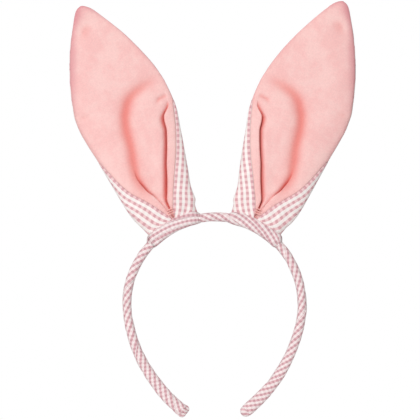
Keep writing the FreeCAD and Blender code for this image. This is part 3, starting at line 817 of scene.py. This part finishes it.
def on_band(along, out, ahead):
    """The point at a distance along the band's middle line, moved outward and forward."""
    side = np.sign(along) + (along == 0)
    run = np.abs(along)
    on_crown = run <= CROWN_LENGTH
    angle = np.where(on_crown, run / CROWN_RADIUS, ROUND_END + (run - CROWN_LENGTH) / ARM_RADIUS)
    angle = np.minimum(angle, ROUND_END + ARM_SWEEP)
    past = np.maximum(run - PATH_LENGTH, 0)
    shift = CROWN_RADIUS - ARM_RADIUS
    middle_x = np.where(on_crown, 0.0, shift * math.sin(ROUND_END))
    middle_z = np.where(on_crown, 0.0, shift * math.cos(ROUND_END))
    radius = np.where(on_crown, CROWN_RADIUS, ARM_RADIUS) + out
    x = middle_x + radius * np.sin(angle) + past * np.cos(angle)
    z = middle_z + radius * np.cos(angle) - past * np.sin(angle)
    return np.stack([side * x, -ahead, z], -1)


def band_thickness(along):
    """The winding's thickness before its laps, which grows down the arms."""
    grown = smooth_step(CROWN_LENGTH, PATH_LENGTH, np.abs(along))
    linear = np.clip((np.abs(along) - CROWN_LENGTH) / ARM_LENGTH, 0, 1)
    return BAND_THICKNESS + (TIP_THICKNESS - BAND_THICKNESS) * (0.5 * grown + 0.5 * linear)


def band_rise(along):
    """How far the winding's middle lies outside the band's middle line."""
    return BAND_RISE * smooth_step(PATH_LENGTH, CROWN_LENGTH, np.abs(along))


def thick_piece(name, points, faces, places):
    """A piece of band cloth from an open sheet in millimetres, thickened inwards."""
    piece = new_piece(name, points, faces, places[np.concatenate(faces)], BAND_GINGHAM)
    solid = piece.modifiers.new("thickness", "SOLIDIFY")
    solid.thickness, solid.offset = BAND_CLOTH * MM, -1.0
    shaped = piece.evaluated_get(bpy.context.evaluated_depsgraph_get())
    whole = bpy.data.meshes.new_from_object(shaped)
    piece.modifiers.clear()
    piece.data = whole
    whole.name = name
    return piece


RIM_DIP, RIM_WIDTH = 0.25, 0.35  # the strip's lapping edge is rolled under
HIDDEN_DROP, HIDDEN_WIDTH = 0.35, 0.08  # past its other edge the strip goes down under the next turn


def wound(spot, lead, share, extra, thickness, depth, rise, step, seed):
    """Where a strip wound round the band lies, and its places on the cloth.

    Each spot is (turns along the strip, way across it). Way 0 is the edge that laps over the turn
    beside it, by step, and way 1 is the edge that the next turn covers.
    """
    t, v = spot[:, 0], spot[:, 1]
    along = lead * (t + v * share) + extra
    out, ahead, normal_out, normal_ahead, total = section(t, thickness(along), depth(along), BAND_CORNER)
    slant = np.arctan2(total, lead)
    crosswise = lead * v * share * np.sin(slant)
    on_strip = np.stack([crosswise, along * np.cos(slant) + t * total * np.sin(slant)], -1)
    height = step * (1 - v) - RIM_DIP * np.exp(-np.abs(crosswise) / RIM_WIDTH)
    height = np.where(v > 1, -HIDDEN_DROP * np.clip((v - 1) / HIDDEN_WIDTH, 0, 1), height)
    pulls = ripple(on_strip * np.array([1.0, 0.2]), 2.1, seed) * 0.2
    lumps = ripple(np.stack([along, t * 28.0], -1), 9.0, seed + 3.0) * 0.22
    off_edges = np.clip(v * 12, 0, 1) * np.clip((1.02 - v) * 12, 0, 1)
    height = height + (pulls + lumps) * off_edges
    out = rise(along) + out + normal_out * height
    return on_band(along, out, ahead + normal_ahead * height), on_strip


def strip(turns, across, limits, shift, **winding):
    """A wound strip's points, faces and cloth places, cut off square to the band at both limits."""
    share, lead, extra = winding["share"], winding["lead"], winding["extra"]
    t, v = np.meshgrid(turns, across, indexing="ij")
    work = bmesh.new()
    spots = [work.verts.new((a, b, 0)) for a, b in zip(t.ravel(), v.ravel())]
    wide = len(across)
    for i in range(len(turns) - 1):
        for j in range(wide - 1):
            k = i * wide + j
            work.faces.new((spots[k], spots[k + 1], spots[k + wide + 1], spots[k + wide]))
    for limit, way in zip(limits, (-1, 1)):
        place = ((limit - extra) / lead, 0, 0)
        everything = work.verts[:] + work.edges[:] + work.faces[:]
        bmesh.ops.bisect_plane(
            work, geom=everything, dist=1e-7, plane_co=place, plane_no=(way, way * share, 0),
            clear_outer=True,
        )
    work.verts.index_update()
    spot = np.array([vertex.co[:2] for vertex in work.verts])
    faces = [[vertex.index for vertex in face.verts] for face in work.faces]
    work.free()
    points, on_strip = wound(spot, **winding)
    return points, faces, (on_strip + shift) / BAND_PERIOD


def joined(parts):
    """Several strips as one set of points, faces and cloth places."""
    points, faces, places, count = [], [], [], 0
    for p, f, uv in parts:
        points.append(p)
        places.append(uv)
        faces.extend([[index + count for index in face] for face in f])
        count += len(p)
    return np.concatenate(points), faces, np.concatenate(places)


BAND_ACROSS = np.concatenate([[0, 0.008, 0.02], np.linspace(0.04, 1.0, 40), [1.03, 1.1]])
BAND_ROWS_PER_TURN = 52
BAND_SEED = 11.0


def band_piece(side):
    """Half of the band's winding, from the middle of the crown to an arm's end."""
    reach = PATH_LENGTH / LEAD + 0.1
    first, last = (-0.5, reach) if side == "right" else (-reach - 1.1, -0.5)
    turns = np.linspace(first, last, int((last - first) * BAND_ROWS_PER_TURN))
    limits = (-PATH_LENGTH - 0.5, PATH_LENGTH + 0.5)
    points, faces, places = strip(
        turns, BAND_ACROSS, limits, 0.0, lead=LEAD, share=1.0, extra=0.0, thickness=band_thickness,
        depth=lambda along: 0 * along + BAND_DEPTH, rise=band_rise, step=STEP, seed=BAND_SEED,
    )
    piece = thick_piece(f"band_cloth_{side}", points, faces, places)
    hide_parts(f"band_wrap_{side}_arm", f"band_padding_{side}_arm")
    if side == "left":
        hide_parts("band_wrap_crown", "band_padding_crown")
    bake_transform(piece)


# The bindings: where they start and end along the band, and their size there.
BIND_START, BIND_END = CROWN_RADIUS * math.radians(8.0), CROWN_RADIUS * math.radians(48.0)
BIND_THICKNESS, BIND_DEPTH = 5.2, 9.9

# How much thicker, deeper and further out they are where they are full, and how soon they are full.
BIND_SWELL, BIND_SWELL_DEEP, BIND_SWELL_RISE = 3.2, 1.4, 1.0
FULL_AFTER_START, FULL_BEFORE_END = 6.0, 4.5

# How much smaller their cut ends are, which go down under the band's own winding, and how soon.
BIND_TUCK, TUCK_LENGTH = 1.8, 2.5
BIND_STEP = 0.55
BIND_ACROSS = np.concatenate([[0, 0.02, 0.05], np.linspace(0.1, 1.0, 14), [1.03, 1.12]])
BIND_ROWS_PER_TURN = 200

# Each binding is several strips side by side: how far one moves along in a turn, and how many.
# The left one's strips lie nearly along the band and the right one's cross it.
BIND_STRIPS = {"left": (280.0, 7), "right": (105.0, 5)}
BIND_OFFSET = 4.0  # how far along the band the first one starts its turn
CHECK_OFFSET = 1.3  # how far each one's check is moved from the one before


def bind_swell(along):
    """How full a binding is, from 0 at its ends to 1."""
    place = np.abs(along)
    filling = smooth_step(BIND_START, BIND_START + FULL_AFTER_START, place)
    return filling * smooth_step(BIND_END, BIND_END - FULL_BEFORE_END, place)


def bind_tuck(along):
    """How far a binding's cut ends go down under the winding, from 0 to 1."""
    place = np.abs(along)
    at_start = 1 - smooth_step(BIND_START, BIND_START + TUCK_LENGTH, place)
    return at_start + 1 - smooth_step(BIND_END, BIND_END - TUCK_LENGTH, place)


def bind_thickness(along):
    return BIND_THICKNESS + BIND_SWELL * bind_swell(along) - BIND_TUCK * bind_tuck(along)


def bind_depth(along):
    return BIND_DEPTH + BIND_SWELL_DEEP * bind_swell(along) - BIND_TUCK * bind_tuck(along)


def bind_rise(along):
    return BAND_RISE + BIND_SWELL_RISE * bind_swell(along)


def binding_piece(side, seed):
    """The extra turns that trap an ear's foot against the band."""
    way = 1 if side == "right" else -1
    limits = sorted((way * BIND_START, way * BIND_END))
    lead, strips = BIND_STRIPS[side]
    parts = []
    for k in range(strips):
        extra = k * lead / strips + BIND_OFFSET
        first = (limits[0] - extra) / lead - 1.15 / strips
        last = (limits[1] - extra) / lead + 0.02
        turns = np.linspace(first, last, int((last - first) * BIND_ROWS_PER_TURN) + 2)
        parts.append(strip(
            turns, BIND_ACROSS, limits, k * CHECK_OFFSET, lead=lead, share=1 / strips, extra=extra,
            thickness=bind_thickness, depth=bind_depth, rise=bind_rise, step=BIND_STEP, seed=seed + k,
        ))
    piece = thick_piece(f"ear_binding_cloth_{side}", *joined(parts))
    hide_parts(f"ear_binding_{side}", f"ear_root_{side}")
    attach(piece, "crown")


# The band's ends: how far each goes up under the winding, how much wider than the winding it is, the
# corner of its section, the height of the pleats, and the points round it.
TIP_TUCK = 4.0
TIP_SPARE = 0.5
TIP_CORNER = 3.0
TIP_PLEAT = 0.7
TIP_COLUMNS = 96


def tip_piece(side):
    """The cloth folded over an arm's end: smooth on the right, gathered into pleats on the left."""
    way = 1 if side == "right" else -1
    share = np.linspace(0, 1, TIP_COLUMNS + 1)
    over_end = np.sin(np.linspace(0, math.pi / 2, 34)) * TIP_LENGTH
    run = np.concatenate([np.linspace(-TIP_TUCK, 0.0, 8)[:-1], over_end])
    thickness = np.full_like(share, TIP_THICKNESS + TIP_SPARE)
    depth = np.full_like(share, BAND_DEPTH + TIP_SPARE)
    out, ahead, normal_out, normal_ahead, total = section(share, thickness, depth, TIP_CORNER)
    pleat = np.cos(2 * math.pi * (share * 6 + 0.35)) + 0.5 * np.cos(2 * math.pi * (share * 11 + 0.1))
    grid, places = [], []
    for distance in run:
        close = max(distance, 0) / TIP_LENGTH
        tucked = 0.86 + 0.14 * float(smooth_step(-TIP_TUCK, -1.5, distance))
        size = max(1 - close**2.6, 0.0) ** 0.5 * tucked
        along = way * (PATH_LENGTH + distance) * np.ones_like(share)
        lift = np.zeros_like(share)
        if side == "left":
            lift = TIP_PLEAT * pleat * smooth_step(-3.5, 2.0, distance)
            along = along - way * 1.6 * (1 - size) ** 2
        spot = on_band(along, (out + normal_out * lift) * size, (ahead + normal_ahead * lift) * size)
        grid.append(spot)
        if side == "right":
            places.append(np.stack([spot[:, 2] + 0.2, spot[:, 0] + spot[:, 1]], -1))
        else:
            round_end = share * total * (0.45 + 0.55 * size)
            places.append(np.stack([round_end, np.full_like(share, distance)], -1))
    grid, places = np.array(grid), np.array(places) / BAND_PERIOD
    points = np.concatenate([grid[:-1, :-1].reshape(-1, 3), grid[-1:, 0], grid[0, :-1].mean(0)[None]])
    pole, root = len(points) - 2, len(points) - 1

    # Each face is a list of corners, and each corner is a point and its place on the cloth.
    faces = []
    last = len(run) - 2
    for i in range(last + 1):
        for j in range(TIP_COLUMNS):
            here, beside_it = i * TIP_COLUMNS + j, i * TIP_COLUMNS + (j + 1) % TIP_COLUMNS
            face = [(here, places[i, j]), (beside_it, places[i, j + 1])]
            if i == last:
                face.append((pole, places[i + 1, j]))
            else:
                face.append((beside_it + TIP_COLUMNS, places[i + 1, j + 1]))
                face.append((here + TIP_COLUMNS, places[i + 1, j]))
            faces.append(face)
    for j in range(TIP_COLUMNS):
        faces.append([((j + 1) % TIP_COLUMNS, places[0, j + 1]), (j, places[0, j]), (root, places[0, j])])
    if side == "left":
        faces = [face[::-1] for face in faces]
    corner_places = np.array([place for face in faces for _, place in face])
    faces = [[point for point, _ in face] for face in faces]
    piece = new_piece(f"band_tip_{side}", points, faces, corner_places, BAND_GINGHAM)
    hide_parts(f"band_end_cover_{side}")
    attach(piece, f"{side}_arm")


for side, seed in (("left", 21.0), ("right", 31.0)):
    band_piece(side)
    binding_piece(side, seed)
    tip_piece(side)


# The stage: a pale floor, a white surround, two large soft lamps and a long lens.

FLOOR_REACH, FLOOR_BEHIND, FLOOR_GAP = 0.6, 0.14, 0.012
floor_level = float(cad_low[2]) - FLOOR_GAP
floor_corners = [
    (x, y, floor_level) for x, y in (
        (-FLOOR_REACH, -FLOOR_REACH), (FLOOR_REACH, -FLOOR_REACH),
        (FLOOR_REACH, FLOOR_BEHIND), (-FLOOR_REACH, FLOOR_BEHIND),
    )
]
floor_mesh = bpy.data.meshes.new("floor")
floor_mesh.from_pydata(floor_corners, [], [(0, 1, 2, 3)])
floor = bpy.data.objects.new("floor", floor_mesh)
bpy.context.scene.collection.objects.link(floor)
paper = Nodes("floor_paper")
grain = paper.noise(paper.add("ShaderNodeTexCoord").outputs["Object"], 900.0, 3.0)
floor_mesh.materials.append(paper.surface(
    paper.mix(paper.ramp(grain, 0.3, 0.7), shade(0.93, 0.93, 0.93), shade(0.95, 0.95, 0.95)),
    paper.bump(grain, 0.1, 0.0001), Roughness=0.9,
))

# The camera sees the surround as plain white. It lights the object less, and most from above and the left.
world = bpy.data.worlds.new("studio")
bpy.context.scene.world = world
world.use_nodes = True
sky = world.node_tree
direction = sky.nodes.new("ShaderNodeTexCoord")
facing = sky.nodes.new("ShaderNodeVectorMath")
facing.operation = "DOT_PRODUCT"
facing.inputs[1].default_value = (-0.46, -0.21, 0.86)
bright = sky.nodes.new("ShaderNodeMapRange")
bright.inputs[1].default_value, bright.inputs[2].default_value = -0.8, 0.8
bright.inputs[3].default_value, bright.inputs[4].default_value = 0.3, 1.0
sky.links.new(direction.outputs["Generated"], facing.inputs[0])
sky.links.new(facing.outputs["Value"], bright.inputs[0])
sky.links.new(bright.outputs[0], sky.nodes["Background"].inputs[0])
sky.nodes["Background"].inputs[1].default_value = AMBIENT
seen = sky.nodes.new("ShaderNodeBackground")
seen.inputs[0].default_value = shade(1.0, 1.0, 1.0)
ray = sky.nodes.new("ShaderNodeLightPath")
either = sky.nodes.new("ShaderNodeMixShader")
sky.links.new(ray.outputs["Is Camera Ray"], either.inputs[0])
sky.links.new(sky.nodes["Background"].outputs[0], either.inputs[1])
sky.links.new(seen.outputs[0], either.inputs[2])
sky.links.new(either.outputs[0], sky.nodes["World Output"].inputs[0])


def lamp(name, place, size, power):
    """A square lamp that faces the middle of the object."""
    target = Vector((0, 0, 0.06))
    data = bpy.data.lights.new(name, "AREA")
    data.shape, data.size, data.energy = "SQUARE", size, power
    light = bpy.data.objects.new(name, data)
    light.location = place
    light.rotation_euler = (target - Vector(place)).to_track_quat("-Z", "Y").to_euler()
    bpy.context.scene.collection.objects.link(light)


lamp("key", (-0.55, -2.0, 0.95), 0.9, KEY_POWER)
lamp("fill", (0.6, 2.0, 0.8), 1.2, FILL_POWER)

# The camera looks straight at the front from far off. The view's width is in metres at the object.
CAMERA_DISTANCE, VIEW_WIDTH = 3.2, 0.294
VIEW_CENTRE_X, VIEW_CENTRE_Z = -0.00315, 0.0661
SENSOR_WIDTH = 36.0

camera_data = bpy.data.cameras.new("camera")
camera = bpy.data.objects.new("camera", camera_data)
bpy.context.scene.collection.objects.link(camera)
camera_data.sensor_width = SENSOR_WIDTH
camera_data.lens = SENSOR_WIDTH * CAMERA_DISTANCE / VIEW_WIDTH
camera_data.clip_start, camera_data.clip_end = 0.1, 30.0
camera.location = (VIEW_CENTRE_X, -CAMERA_DISTANCE, VIEW_CENTRE_Z)
camera.rotation_euler = (math.pi / 2, 0, 0)
bpy.context.scene.camera = camera
bpy.context.scene.view_settings.view_transform = "Standard"
